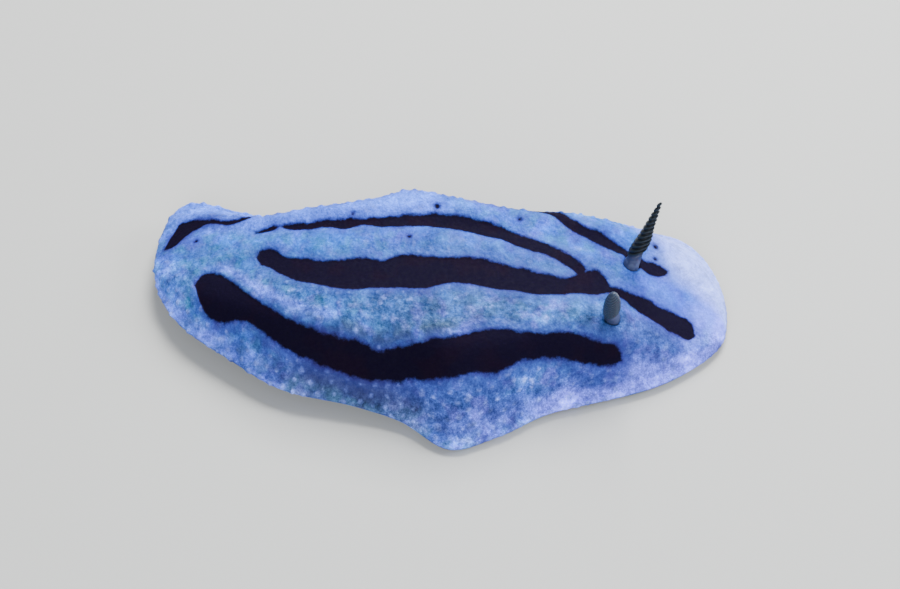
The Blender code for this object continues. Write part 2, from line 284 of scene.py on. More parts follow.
# %% Underside, groove and foot
UNDER_PROFILE = ((0, 1), (0.55, 1), (0.66, 0.90), (0.80, 0.50), (0.93, 0.05), (1, 0))
FOOT_ENDS = (-8.7, 7.8)
FOOT_HALF_WIDTH = 2.2
FOOT_BACK_TAPER = 0.35
FOOT_BACK_POWER = 0.6
FOOT_FRONT_POWER = 9
FOOT_FULL = 0.9
GROOVE_ROW = 0.56
FOOT_ROWS = (0, 0.36, 0.40, 0.43, 0.46, 0.51, GROOVE_ROW)
FOOT_OFFSETS = (0, -0.16, -0.04, 0.0, -0.05, -0.12, -0.20)
FOOT_HEIGHTS = (0, 0, 0.03, 0.12, 0.25, 0.62, 1)


def foot_half_width(x):
    """Half the foot's width at the stations x, slender behind and blunt in front."""
    back, front = FOOT_ENDS
    share = np.clip((x - back) / (front - back), 0, 1)
    taper = np.minimum(1, (share / FOOT_BACK_TAPER) ** FOOT_BACK_POWER)
    return FOOT_HALF_WIDTH * taper * np.sqrt(1 - share ** FOOT_FRONT_POWER)


def under_height(x, share):
    """The plain underside's height, without the foot."""
    edge = rim_height(x, share) - RIM_DROP * end_rounding(x)
    rise = smooth_through(UNDER_PROFILE, np.abs(share)) * end_rounding(x)
    return edge + (station("ceiling", x) - edge) * rise


def under_points(x, across):
    """Points of the underside for a grid value across, from -1 at the right rim to 1."""
    side, size = np.sign(across), np.abs(across)
    wide = half_width(x, across)
    radius = np.minimum(RIM_RADIUS, 0.5 * wide)
    foot = foot_half_width(x)
    grown = np.clip(foot / FOOT_FULL, 0, 1)
    grown = grown * grown * (3 - 2 * grown)
    # side and sole of the foot
    foot_offset = np.interp(size, FOOT_ROWS, FOOT_OFFSETS)
    foot_offset = foot_offset + foot * np.interp(size, FOOT_ROWS[:2], (0, 1))
    foot_share = np.interp(size, FOOT_ROWS, FOOT_HEIGHTS)
    plain_offset = size * wide
    inner = grown * np.maximum(foot_offset, 0) + (1 - grown) * plain_offset
    ceiling = under_height(x, side * np.minimum(inner / np.maximum(wide, TINY), 1))
    inner_height = ceiling * (grown * foot_share + 1 - grown)
    # underside of the mantle, from the groove out to the rim
    join = grown * (foot + FOOT_OFFSETS[-1]) + (1 - grown) * GROOVE_ROW * wide
    walk = np.clip((size - GROOVE_ROW) / (RIM_START - GROOVE_ROW), 0, 1)
    outer = join + walk * (wide - radius - join)
    turn = np.clip((size - RIM_START) / (1 - RIM_START), 0, 1) * np.pi / 2
    outer = outer + radius * np.sin(turn)
    outer_share = side * np.minimum(outer / np.maximum(wide, TINY), 1)
    start = under_height(x, side * (1 - radius / np.maximum(wide, TINY)))
    rim = rim_height(x, across)
    rounded = rim + (start - rim) * np.cos(turn)
    outer_height = np.where(size > RIM_START, rounded, under_height(x, outer_share))
    offset = side * np.where(size < GROOVE_ROW, inner, outer)
    return offset, np.where(size < GROOVE_ROW, inner_height, outer_height)


print("foot is", float(2 * foot_half_width(0.0)), "mm wide at the middle")

# %% [markdown]
# ## A net for the skin
# The skin is one closed net: a fine grid for the back, a coarser one for the underside, sewn
# together along the rim. Both start as flat squares from the grid operator. The coarse grid's
# border edges are split once, so that its border has as many points as the fine one's and the two
# can be merged. Rounding a square into a disc leaves no pole anywhere, unlike a sphere.

# %% Two flat grids, sewn along their border
BACK_GRID = (420, 176)
SQUARE = 1.0
NEAR_ENOUGH = 1e-5


def border(verts):
    """The points on the square's outer edge."""
    return [v for v in verts if abs(max(abs(v.co.x), abs(v.co.y)) - SQUARE) < NEAR_ENOUGH]


bm = bmesh.new()
under_mark = bm.verts.layers.float.new("under")
bmesh.ops.create_grid(bm, x_segments=BACK_GRID[0], y_segments=BACK_GRID[1], size=SQUARE)
back_faces = len(bm.faces)
bmesh.ops.create_grid(bm, x_segments=BACK_GRID[0] // 2, y_segments=BACK_GRID[1] // 2, size=SQUARE)
under_faces = list(bm.faces)[back_faces:]
rim_edges = {e for f in under_faces for e in f.edges if e.is_boundary}
bmesh.ops.subdivide_edges(bm, edges=list(rim_edges), cuts=1)
under_faces = list(bm.faces)[back_faces:]
for v in {v for f in under_faces for v in f.verts}:
    v[under_mark] = 1.0
bmesh.ops.reverse_faces(bm, faces=under_faces)
seam = border(bm.verts)
bmesh.ops.remove_doubles(bm, verts=seam, dist=NEAR_ENOUGH)
for v in border(bm.verts):
    v[under_mark] = 0.0
open_edges = sum(e.is_boundary for e in bm.edges)
skin_mesh = mesh_from(bm, "skin")
print("skin net:", len(skin_mesh.vertices), "points and", open_edges, "open edges")

# %% [markdown]
# ## Small organs that rise from the skin
# Each rhinophore leaves the back through a pocket with a low raised lip, and near the tail a low
# papilla carries the vent. On the real animal they are part of the skin, so here they are rings and
# domes added to its height, centred on the places that the construction model uses.

# %% Lips of the two pockets and the papilla
# Each one's station, offset to the left, lean forwards and outwards in degrees, and length
RHINOPHORES = {
    "rhinophore_right": (6.15, -1.10, 0.5, 19, 2.15),
    "rhinophore_left": (6.35, 1.42, 14.7, 13.6, 2.85),
}
STALK_SHARE = 0.19
STALK_RADIUS = 0.30
LIP_RADIUS = 0.42
LIP_WIDTH = 0.15
LIP_HEIGHT = 0.07
PIT_RADIUS = 0.27
PIT_DEPTH = 0.22
PAPILLA_X = -7.7
PAPILLA_RADIUS = 0.30
PAPILLA_HEIGHT = 0.14
VENT_RADIUS = 0.09
VENT_SHARE = 0.6


def plan_distance(x, offset, centre_x, centre_offset):
    """Distance in plan from one place on the body, in mm."""
    away = place(x, offset, 0.0) - place(centre_x, centre_offset, 0.0)
    return np.hypot(away[..., 0], away[..., 1])


def organ_relief(x, offset):
    """Height added by the pockets' lips and the papilla."""
    added = np.zeros_like(x)
    for centre_x, centre_offset, *_ in RHINOPHORES.values():
        away = plan_distance(x, offset, centre_x, centre_offset)
        added += LIP_HEIGHT * bell(away, LIP_RADIUS, LIP_WIDTH)
        added -= PIT_DEPTH * np.exp(-((away / PIT_RADIUS) ** 4))
    away = plan_distance(x, offset, PAPILLA_X, 0.0)
    added += PAPILLA_HEIGHT * bell(away, 0, PAPILLA_RADIUS)
    added -= VENT_SHARE * PAPILLA_HEIGHT * bell(away, 0, VENT_RADIUS)
    return added


print("organs:", len(RHINOPHORES), "pockets and a papilla")

# %% [markdown]
# ## The black stripes
# The markings name this species: a stripe along the middle, one along each side, and on this animal
# a thin extra one that branches off the middle stripe behind the left rhinophore. A painted image
# could hold them, but an image has a fixed number of dots. Here each stripe is a short list of
# places where its two edges lie, in shares of the half width, and every point of the skin keeps its
# distance to the nearest stripe edge. The material turns that distance into a sharp, slightly
# ragged border, however close the camera comes.

# %% Edges of each stripe: station, right edge, left edge
STRIPES = {
    "right_side": (
        (-8.42, -0.50, -0.46), (-8.3, -0.58, -0.36), (-8.0, -0.71, -0.27), (-7.6, -0.76, -0.27),
        (-7.1, -0.75, -0.325), (-6.6, -0.69, -0.415), (-5.8, -0.70, -0.505), (-5.1, -0.743, -0.565),
        (-4.4, -0.777, -0.61), (-3.5, -0.81, -0.65), (-2.5, -0.83, -0.67), (-1.8, -0.82, -0.70),
        (-1.4, -0.81, -0.67), (-0.7, -0.77, -0.61), (0.1, -0.725, -0.54), (1.2, -0.69, -0.49),
        (2.4, -0.71, -0.487), (2.75, -0.69, -0.505), (3.5, -0.692, -0.548), (4.9, -0.723, -0.557),
        (5.5, -0.742, -0.582), (6.1, -0.756, -0.608), (6.45, -0.754, -0.620), (6.62, -0.740, -0.645),
        (6.74, -0.716, -0.678),
    ),
    "middle": (
        (-6.46, 0.045, 0.11), (-6.38, 0.00, 0.15), (-6.25, -0.035, 0.165), (-6.1, -0.055, 0.17),
        (-5.9, -0.08, 0.155), (-5.5, -0.14, 0.08),
        (-4.6, -0.213, 0.05), (-4.0, -0.238, 0.035), (-3.3, -0.265, 0.055), (-2.7, -0.258, 0.085),
        (-2.0, -0.22, 0.06), (-1.5, -0.21, 0.10), (-0.4, -0.17, 0.11), (0.2, -0.11, 0.11),
        (1.0, -0.10, 0.128), (1.8, -0.13, 0.115), (2.4, -0.14, 0.09), (3.9, -0.163, 0.045),
        (4.2, -0.15, 0.033), (4.5, -0.124, 0.06), (4.8, -0.105, 0.125), (5.2, -0.087, 0.165),
        (5.6, -0.055, 0.13), (5.86, -0.012, 0.052), (6.05, -0.012, 0.050), (6.4, -0.055, 0.056),
        (6.6, -0.09, 0.048), (6.75, -0.12, 0.05), (6.9, -0.15, 0.052), (7.3, -0.192, 0.037),
        (8, -0.312, 0.01), (8.4, -0.373, -0.012), (8.7, -0.458, -0.045), (8.9, -0.470, -0.155),
        (9.02, -0.395, -0.33),
    ),
    "branch": (
        (-6.75, 0.415, 0.435), (-6.4, 0.432, 0.475), (-6.15, 0.447, 0.50), (-5.95, 0.480, 0.477),
        (-5.7, 0.445, 0.49), (-4.9, 0.40, 0.49), (-4.3, 0.43, 0.50), (-3.5, 0.385, 0.49),
        (-2.8, 0.42, 0.48), (-2.2, 0.38, 0.47), (-1.1, 0.36, 0.465), (-0.1, 0.38, 0.50),
        (1.0, 0.37, 0.50), (1.5, 0.35, 0.49), (2.0, 0.34, 0.47), (2.5, 0.29, 0.43),
        (3.0, 0.25, 0.39), (3.6, 0.222, 0.332), (4.0, 0.186, 0.288), (4.6, 0.108, 0.222),
        (4.95, 0.045, 0.165),
    ),
    "left_side": (
        (-9.95, 0.10, 0.14), (-9.8, 0.10, 0.33), (-9.6, 0.14, 0.53), (-9.3, 0.28, 0.57),
        (-9.0, 0.40, 0.59), (-8.6, 0.515, 0.60), (-7.7, 0.54, 0.61), (-7.3, 0.61, 0.665),
        (-7.0, 0.69, 0.76), (-6.4, 0.72, 0.81), (-4.0, 0.72, 0.82), (-1.0, 0.73, 0.83),
        (2.0, 0.70, 0.80), (3.5, 0.62, 0.72), (4.3, 0.50, 0.60), (4.8, 0.46, 0.54),
        (5.1, 0.435, 0.54), (5.4, 0.42, 0.51), (6.0, 0.373, 0.45), (6.3, 0.338, 0.42),
        (6.9, 0.282, 0.41), (7.3, 0.296, 0.42), (7.5, 0.325, 0.415), (7.62, 0.36, 0.40),
    ),
}
# Tiny dark spots between the stripes: station, share, radius
SPOTS = (
    (-0.2, 0.55, 0.08), (-3.3, 0.53, 0.06), (-1.1, 0.26, 0.06), (2.6, 0.55, 0.06),
    (7.0, 0.57, 0.07), (7.1, 0.46, 0.05), (-8.8, 0.22, 0.05),
)
# One pale wart that stands in the right stripe's edge
PALE_WART = (-1.76, -0.685, 0.10)
STRIPE_REACH = 0.6


def edge_of(stripe, column, x):
    """The share at which a stripe's right (1) or left (2) edge lies at the stations x."""
    return smooth_through([(row[0], row[column]) for row in STRIPES[stripe]], x)


def inside_spot(spot, x, offset):
    """How far inside a round spot each point lies, in mm; negative outside it."""
    spot_x, spot_share, radius = spot
    return radius - plan_distance(x, offset, spot_x, spot_share * half_width(spot_x, spot_share))


def stripe_distance(x, share, offset):
    """How far inside the black each point lies, in mm; negative outside it."""
    wide = half_width(x, share)
    inside = np.full_like(x, -STRIPE_REACH)
    for name, edges in STRIPES.items():
        here = np.minimum(share - edge_of(name, 1, x), edge_of(name, 2, x) - share) * wide
        here = np.minimum(here, np.minimum(x - edges[0][0], edges[-1][0] - x))
        inside = np.maximum(inside, here)
    for spot in SPOTS:
        inside = np.maximum(inside, inside_spot(spot, x, offset))
    inside = np.minimum(inside, -inside_spot(PALE_WART, x, offset))
    return np.clip(inside, -STRIPE_REACH, STRIPE_REACH)


print("stripes:", ", ".join(STRIPES))

# %% [markdown]
# ## From flat net to body
# The two columns of the flat square become a place along the body and a place across it. The square
# is first rounded into a disc, then each row is stretched over its own cross-section.
# All points move at once as arrays, which takes a second, where a loop over points takes minutes.

# %% Lay the net over the body
FURROW = 0.045
FURROW_SLOPE = 0.15


def disc(square):
    """Square coordinates rounded into a disc, as place along the body and grid value across."""
    u, v = square[:, 0], square[:, 1]
    along = u * np.sqrt(1 - v * v / 2)
    across = v * np.sqrt(1 - u * u / 2)
    reach = np.sqrt(np.maximum(1 - along * along, 1e-12))
    x = (TAIL_X + HEAD_X) / 2 + (HEAD_X - TAIL_X) / 2 * along
    return x, np.clip(across / reach, -1, 1)


count = len(skin_mesh.vertices)
square = np.empty(count * 3)
skin_mesh.vertices.foreach_get("co", square)
square = square.reshape(-1, 3)
under = np.empty(count)
skin_mesh.attributes["under"].data.foreach_get("value", under)
x, across = disc(square)
top_offset, top_height, share = back_points(x, across)
low_offset, low_height = under_points(x, across)
is_under = under > 0.5
black = stripe_distance(x, share, top_offset)
top_height = top_height + organ_relief(x, top_offset) - FURROW * np.clip(black / FURROW_SLOPE + 0.5, 0, 1)
offset = np.where(is_under, low_offset, top_offset)
height = np.where(is_under, low_height, top_height)
points = place(x, offset, height)
skin_mesh.vertices.foreach_set("co", (points * MM).ravel())
skin_mesh.update()
print("skin box in mm:", points.min(axis=0).round(2), points.max(axis=0).round(2))

# %% [markdown]
# ## Granules and warts
# The skin of this family is stiffened by tiny spicules and feels like fine sandpaper. Small round
# granules stand close together all over, and larger pale warts lie on the flanks and along the
# crest beside the stripes. Each is a low dome pushed out along the skin's own direction, at places
# scattered so that no two are too close. The very finest grain is left to the material's bump.

# %% Scatter places over the skin
WARTS = {"spacing": 0.38, "radius": (0.12, 0.19), "height": (0.035, 0.075), "seed": 3}
GRANULES = {"spacing": 0.18, "radius": (0.08, 0.11), "height": (0.010, 0.022), "seed": 5}
ROUGH_START = -0.05
WARTY_FLANKS = (0.66, 0.97)
WARTY_CREST = (-0.42, 0.24)
LAST_WARTS = (6.5, 3.6)


def scattered(points, keep, spacing, seed):
    """Indices of points, in a shuffled order, that keep the spacing from those before them."""
    order = [i for i in range(len(points)) if keep[i]]
    random.Random(seed).shuffle(order)
    cells, chosen = {}, []
    for i in order:
        cell = tuple(int(c // spacing) for c in points[i])
        near = [
            j
            for dx in (-1, 0, 1) for dy in (-1, 0, 1) for dz in (-1, 0, 1)
            for j in cells.get((cell[0] + dx, cell[1] + dy, cell[2] + dz), ())
        ]
        if all(np.dot(points[i] - points[j], points[i] - points[j]) > spacing ** 2 for j in near):
            cells.setdefault(cell, []).append(i)
            chosen.append(i)
    return chosen


def domes(points, places, form):
    """The height that the domes at these places give each point."""
    draw = random.Random(form["seed"])
    sizes = [(draw.uniform(*form["radius"]), draw.uniform(*form["height"])) for _ in places]
    tree = KDTree(len(places))
    for number, i in enumerate(places):
        tree.insert(points[i], number)
    tree.balance()
    height = np.zeros(len(points))
    for i, point in enumerate(points):
        _, number, away = tree.find(point)
        radius, tall = sizes[number]
        if away < radius:
            height[i] = tall * (1 - (away / radius) ** 2) ** 2
    return height


low, high = WARTY_FLANKS
flank = (np.abs(share) > low) & (np.abs(share) < high) & (x < LAST_WARTS[0])
middle, reach = WARTY_CREST
crest = (np.abs(share - middle) < reach) & (x < LAST_WARTS[1])
open_skin = (black < ROUGH_START) & ~is_under
wart_places = scattered(points, open_skin & (flank | crest), WARTS["spacing"], WARTS["seed"])
granule_places = scattered(points, open_skin, GRANULES["spacing"], GRANULES["seed"])
warts = domes(points, wart_places, WARTS)
granules = domes(points, granule_places, GRANULES)
print(len(wart_places), "warts and", len(granule_places), "granules")

# %% Push the skin out along its own direction
normals = np.empty(count * 3)
skin_mesh.vertex_normals.foreach_get("vector", normals)
normals = normals.reshape(-1, 3)
raised = np.where(is_under, 0, warts + granules)
points = points + normals * raised[:, None]
skin_mesh.vertices.foreach_set("co", (points * MM).ravel())
skin_mesh.update()
print("largest push:", round(float(raised.max()), 3), "mm")

# %% [markdown]
# ## What the material needs to know
# A material can read numbers stored on the points, and the skin keeps twelve. One is the distance
# into the black, one says how far a granule stands out, one how flecked the place is, and one
# marks the underside. The others say how much of a colour the place gets: paler along the rim and
# on the head, with the head's right rim partly painted light, a painted highlight beside the right
# stripe, teal on the crest, deep blue on the flanks, partly painted shade, painted shade on the
# crest, by the right rhinophore, in folds and on the low right rim, and dark navy on the head.
# Each is a short table of soft patches, glows and lines in places on the body, which is easier to
# read and change than one long formula, and needs no painted image.

# %% Where each colour lies
PAST_TAIL, PAST_HEAD = -12.0, 12.0
PAST_RIGHT, PAST_LEFT = -2.0, 2.0
ALL_ACROSS = (PAST_RIGHT, PAST_LEFT, 1.0)
CREST = ((-8.6, 5.8, 1.2), (-0.64, 0.12, 0.14))
# Patches: strength, then first, last and softness along the body, and the same across it.
# Calm patches are less flecked, and busy ones more.
PATCHES = {
    "pale_sky_and_highlight": (
        (0.95, (-9.6, -0.4, 2.0), (0.52, PAST_LEFT, 0.18)),
        (0.55, (PAST_TAIL, -9.3, 0.7), (PAST_RIGHT, -0.3, 0.2)),
    ),
    "pale": (
        (0.5, (9.1, PAST_HEAD, 0.7), ALL_ACROSS),
        (0.4, (9.75, PAST_HEAD, 0.3), ALL_ACROSS),
        # The next two, on the head's right rim, are pale and partly painted light, where the flat rim
        # faces up
        (1.0, (4.4, PAST_HEAD, 1.2), (PAST_RIGHT, -0.92, 0.07)),
        (0.6, (7.2, PAST_HEAD, 0.8), (PAST_RIGHT, -0.78, 0.12)),
        (0.2, (-1.5, 4.6, 1.0), (PAST_RIGHT, -0.90, 0.10)),
        (0.15, (1.6, 3.2, 0.8), (PAST_RIGHT, -0.88, 0.06)),
        (0.28, (PAST_TAIL, -5.4, 1.2), (PAST_RIGHT, -0.87, 0.08)),
    ),
    "teal": ((0.50, *CREST),),
    # Deep blue, partly painted shade where the back and flanks turn away from the light
    "deep": (
        (1.0, (5.6, 8.7, 0.7), (-0.85, -0.26, 0.08)),
        (0.65, (-0.4, 4.6, 2.4), (-0.60, 0.24, 0.12)),
        (0.25, (-6.0, -1.5, 1.0), (-0.60, -0.20, 0.12)),
        (0.8, (1.0, 6.4, 1.2), (-0.88, -0.62, 0.06)),
        (0.35, (-8.0, 1.0, 1.5), (-0.95, -0.76, 0.06)),
        (0.55, (-0.4, 1.8, 0.8), (-0.86, -0.72, 0.06)),
    ),
    "shade": ((0.16, *CREST), (0.16, (-0.6, 2.6, 0.6), (-0.50, -0.10, 0.10))),
    "fold_shade_and_navy": ((0.16, (6.0, 8.6, 0.8), (-0.72, -0.32, 0.08)),),
    # Painted shade on the low right rim, which turns down into shadow
    "rim_shade": ((0.62, (-4.6, -0.7, 0.8), (PAST_RIGHT, -0.87, 0.10)),),
    "calm": ((0.45, (7.5, PAST_HEAD, 2.0), (0.1, PAST_LEFT, 0.4)),),
    "busy": ((0.3, (-1.5, 5.5, 1.5), (-0.98, -0.76, 0.06)),),
}
# Round glows: strength, station and its reach, share and its reach
GLOWS = {
    # Deep blue, partly painted shade
    "deep": ((0.8, -0.6, 2.2, -0.40, 0.16),),
    "shade": ((0.15, 5.2, 1.3, -0.47, 0.13),),
    "fold_shade_and_navy": ((0.4, 8.0, 0.6, -0.38, 0.14),),
}
# Lines beside the right stripe: strength, first, last and softness along the body, which edge
# (1 right, 2 left), the share away from it, and the line's reach
LINES = {
    # The two pale lines are one line along the crest beside the right stripe: pale granules and a painted
    # highlight
    "pale_sky_and_highlight": ((0.68, (-7.2, -3.9, 0.9), 2, 0.12, 0.05),),
    "pale": ((0.2975, (-7.2, -3.9, 0.9), 2, 0.12, 0.05),),
    # Deep blue beside the right stripe, partly painted shade
    "deep": ((0.6, (-7.0, 1.5, 1.0), 1, -0.02, 0.05),),
    "shade": ((0.85, (-4.1, 0.2, 0.9), 2, 0.06, 0.055),),
}
# Painted shade in the folds right of a stripe: strength, stripe, first, last and softness along the
# body, and the same in mm from the stripe's right edge
FOLDS = (
    (0.8, "right_side", (-4.0, -1.7, 0.8), (-0.5, 0.24, 0.35)),
    (0.6, "left_side", (-9.8, -8.2, 0.4), (-0.5, 0.05, 0.30)),
)
print("colours with patches:", ", ".join(PATCHES))


# %% Work out how much of each colour a point gets
def between(values, first, last, soft):
    """1 between two values, falling off softly to 0 outside them."""
    return np.clip((values - first) / soft + 1, 0, 1) * np.clip((last - values) / soft + 1, 0, 1)


def painted(name):
    """How much of one colour each point gets from its patches, glows and lines."""
    total = np.zeros_like(x)
    for strength, along, sideways in PATCHES.get(name, ()):
        total += strength * between(x, *along) * between(share, *sideways)
    for strength, middle_x, reach_x, middle, reach in GLOWS.get(name, ()):
        total += strength * bell(x, middle_x, reach_x) * bell(share, middle, reach)
    for strength, along, edge, away, reach in LINES.get(name, ()):
        beside = share - edge_of("right_side", edge, x)
        total += strength * between(x, *along) * bell(beside, away, reach)
    return total


# The tail's left and right rims, a pale spot on the head's right rim that is partly painted light, and the
# white head
tail_rims = 0.4 * between(x, PAST_TAIL, -7.6, 2.0) * between(np.abs(share), 0.88, PAST_LEFT, 0.10)
pale_and_lit_rim_spot = 0.5 * bell(x, 4.9, 0.5) * between(share, PAST_RIGHT, -0.86, 0.08)
white_fade = 1.3 + 1.9 * between(share, 0.86, PAST_LEFT, 0.30)
white = 0.9 * between(x, 7.9, PAST_HEAD, white_fade) * between(share, 0.52, PAST_LEFT, 0.26)
# Dark navy on the head, and painted shade in the folds right of the stripes
fold_shade_and_navy = painted("fold_shade_and_navy")
for strength, stripe, along, away in FOLDS:
    right_of = (edge_of(stripe, 1, x) - share) * half_width(x, share)
    fold_shade_and_navy += strength * between(x, *along) * between(right_of, *away)
flecked = np.clip(0.55 + 0.45 * between(share, -0.98, -0.30, 0.2) - painted("calm"), 0, 1)
flecked += painted("busy")
print("white on", round(100 * float((white > 0.5).mean()), 1), "percent of the points")

# %% Store the numbers on the skin
MOST_PALE = 0.95
UNDER_PALE = 0.2
FLANK_SHARE = -0.66
CREST_RAISED = 0.55


def store(mesh, name, values):
    layer = mesh.attributes.new(name, "FLOAT", "POINT")
    layer.data.foreach_set("value", np.ascontiguousarray(values, np.float32))


amounts = {
    "pale_sky_and_highlight": np.clip(painted("pale_sky_and_highlight") + tail_rims, 0, MOST_PALE),
    "white": white,
    "teal": painted("teal"),
    "deep": np.clip(painted("deep"), 0, 1),
    "shade": painted("shade"),
    "fold_shade_and_navy": fold_shade_and_navy,
    "rim_shade": painted("rim_shade"),
}
for name, values in amounts.items():
    store(skin_mesh, name, np.where(is_under, 0, values))
store(skin_mesh, "pale", np.where(is_under, UNDER_PALE, np.clip(painted("pale") + pale_and_lit_rim_spot, 0, MOST_PALE)))
store(skin_mesh, "black", black)
store(skin_mesh, "flecked", flecked)
spotted = np.where(share < FLANK_SHARE, 1.0, CREST_RAISED)
store(skin_mesh, "raised", spotted * raised / WARTS["height"][1])
store(skin_mesh, "below", is_under & (np.abs(across) < RIM_START))
print("numbers on each point:", len(amounts) + 5)

# %% [markdown]
# ## The skin's finish
# Wet, soft, slightly see-through skin: light enters and comes out a fraction of a millimetre away,
# so the thin rim glows a little. The blue is never one blue: it shifts between sky, lavender and
# a grey teal in patches of a millimetre or two, with paler granules and a fine grain. The black is
# a warm velvet black. All patterns are made from noise on the object's own coordinates.

# %% Helpers for building materials
LIGHT_SHARE = 0.70


def colour(red, green, blue):
    """Display values from 0 to 255 as linear colour, made darker because the studio is bright."""
    parts = [c / 255 for c in (red, green, blue)]
    linear = [c / 12.92 if c <= 0.04045 else ((c + 0.055) / 1.055) ** 2.4 for c in parts]
    return [LIGHT_SHARE * c for c in linear] + [1]


class Finish:
    """A material under construction, with short names for the nodes that it uses."""

    def __init__(self, name):
        self.material = bpy.data.materials.new(name)
        self.material.use_nodes = True
        self.tree = self.material.node_tree
        self.shader = self.tree.nodes["Principled BSDF"]
        inputs = {"Vector": self.new("TexCoord").outputs["Object"], "Scale": (1 / MM, 1 / MM, 1 / MM)}
        self.millimetres = self.new("Mapping", inputs).outputs["Vector"]

    def set(self, socket, value):
        """Link a socket to another node's output, or give it a plain value."""
        if isinstance(value, bpy.types.NodeSocket):
            self.tree.links.new(value, socket)
        else:
            socket.default_value = value

    def new(self, kind, inputs=None, **settings):
        """A node of this kind with these settings, and inputs by name or number."""
        made = self.tree.nodes.new("ShaderNode" + kind)
        for name, value in settings.items():
            setattr(made, name, value)
        for name, value in (inputs or {}).items():
            self.set(made.inputs[name], value)
        return made

    def noise(self, per_mm, detail=2.0, roughness=0.5, seed=0.0):
        inputs = {"Vector": self.millimetres, "W": seed, "Scale": per_mm, "Detail": detail}
        inputs["Roughness"] = roughness
        return self.new("TexNoise", inputs, noise_dimensions="4D").outputs["Fac"]

    def warped(self, per_mm, reach_mm):
        """Coordinates pushed about by noise, so that a pattern on them loses its round shapes."""
        push = self.new("TexNoise", {"Vector": self.millimetres, "Scale": per_mm}).outputs["Color"]
        inputs = {0: push, 1: (reach_mm, reach_mm, reach_mm), 2: self.millimetres}
        return self.new("VectorMath", inputs, operation="MULTIPLY_ADD").outputs["Vector"]

    def cells(self, per_mm, vector=None):
        inputs = {"Vector": vector or self.millimetres, "Scale": per_mm}
        return self.new("TexVoronoi", inputs).outputs["Distance"]

    def stored(self, name):
        return self.new("Attribute", attribute_name=name).outputs["Fac"]

    def math(self, operation, first, second=0.0):
        return self.new("Math", {0: first, 1: second}, operation=operation).outputs["Value"]

    def times(self, first, second):
        return self.math("MULTIPLY", first, second)

    def ramp(self, value, low, high, to_low=0.0, to_high=1.0):
        inputs = {"Value": value, "From Min": low, "From Max": high, "To Min": to_low, "To Max": to_high}
        return self.new("MapRange", inputs, interpolation_type="SMOOTHSTEP").outputs["Result"]

    def brighter(self, colour, factor):
        return self.new("VectorMath", {0: colour, "Scale": factor}, operation="SCALE").outputs["Vector"]

    def mix(self, share, first, second):
        return self.new("Mix", {"Factor": share, 6: first, 7: second}, data_type="RGBA").outputs[2]

    def bump(self, height, depth_mm):
        inputs = {"Strength": 1.0, "Distance": depth_mm * MM, "Height": height}
        self.set(self.shader.inputs["Normal"], self.new("Bump", inputs).outputs["Normal"])

    def flesh(self, colour, roughness, weight, depth_mm):
        """The colour and gloss, how much light enters the skin, and how far it goes."""
        values = {"Base Color": colour, "Roughness": roughness, "Subsurface Weight": weight}
        values["Subsurface Scale"] = depth_mm * MM
        for name, value in values.items():
            self.set(self.shader.inputs[name], value)


print("helpers ready")

# %% The skin's colours
SKY = colour(38, 116, 240)
LAVENDER = colour(72, 102, 238)
TEAL = colour(56, 142, 200)
DEEP_TEAL = colour(36, 100, 154)
DEEP_BLUE_AND_SHADE = colour(55, 76, 171)
VIOLET = colour(98, 88, 202)
GREY_BLUE = colour(64, 98, 158)
PALE_SKY_AND_HIGHLIGHT = (0.066, 0.165, 0.80, 1)
PALE_LAVENDER_AND_LIGHT = (0.18, 0.21, 1.0, 1)
HEAD_WHITE = (0.28, 0.37, 1.0, 1)
SPOT_LAVENDER = colour(122, 144, 238)
SHADE = colour(60, 84, 110)
FOLD_SHADE_AND_NAVY = colour(36, 44, 78)
RIM_SHADE_GREY = colour(66, 74, 92)
SOLE_GREY = colour(92, 100, 150)
EDGE_BLUE = colour(62, 70, 176)
EDGE_PURPLE = colour(46, 34, 112)
VELVET_BLACK = colour(13, 6, 31)
WINE_BLACK = colour(18, 6, 29)
print("sky blue is", [round(c, 3) for c in SKY[:3]])

# %% [markdown]
# ### The blue ground
# Thin layers of colour lie over each other, each laid on through noise, so that no patch has a
# drawn outline. The stored numbers say where a layer is strong. Another way is one colour ramp on
# one noise, but then all the blues would follow each other in the same order everywhere.

# %% Blue ground in patches
GREY_VEIL = 0.3

skin = Finish("living skin")
flecks = skin.stored("flecked")
base = skin.mix(skin.ramp(skin.noise(0.5, 2.0), 0.40, 0.62), SKY, LAVENDER)
teal_patches = skin.ramp(skin.noise(1.9, 3.0, 0.5, seed=3), 0.42, 0.62, 0.0, 1.1)
base = skin.mix(skin.times(teal_patches, flecks), base, TEAL)
# Deep blue, partly painted shade on slopes turned away from the light
base = skin.mix(skin.stored("deep"), base, DEEP_BLUE_AND_SHADE)
base = skin.mix(skin.stored("teal"), base, DEEP_TEAL)
violet_patches = skin.ramp(skin.noise(1.7, 3.0, 0.5, seed=13), 0.50, 0.66, 0.0, 0.6)
base = skin.mix(skin.times(violet_patches, flecks), base, VIOLET)
base = skin.mix(skin.times(flecks, GREY_VEIL), base, GREY_BLUE)
print("ground:", len(skin.tree.nodes), "nodes")

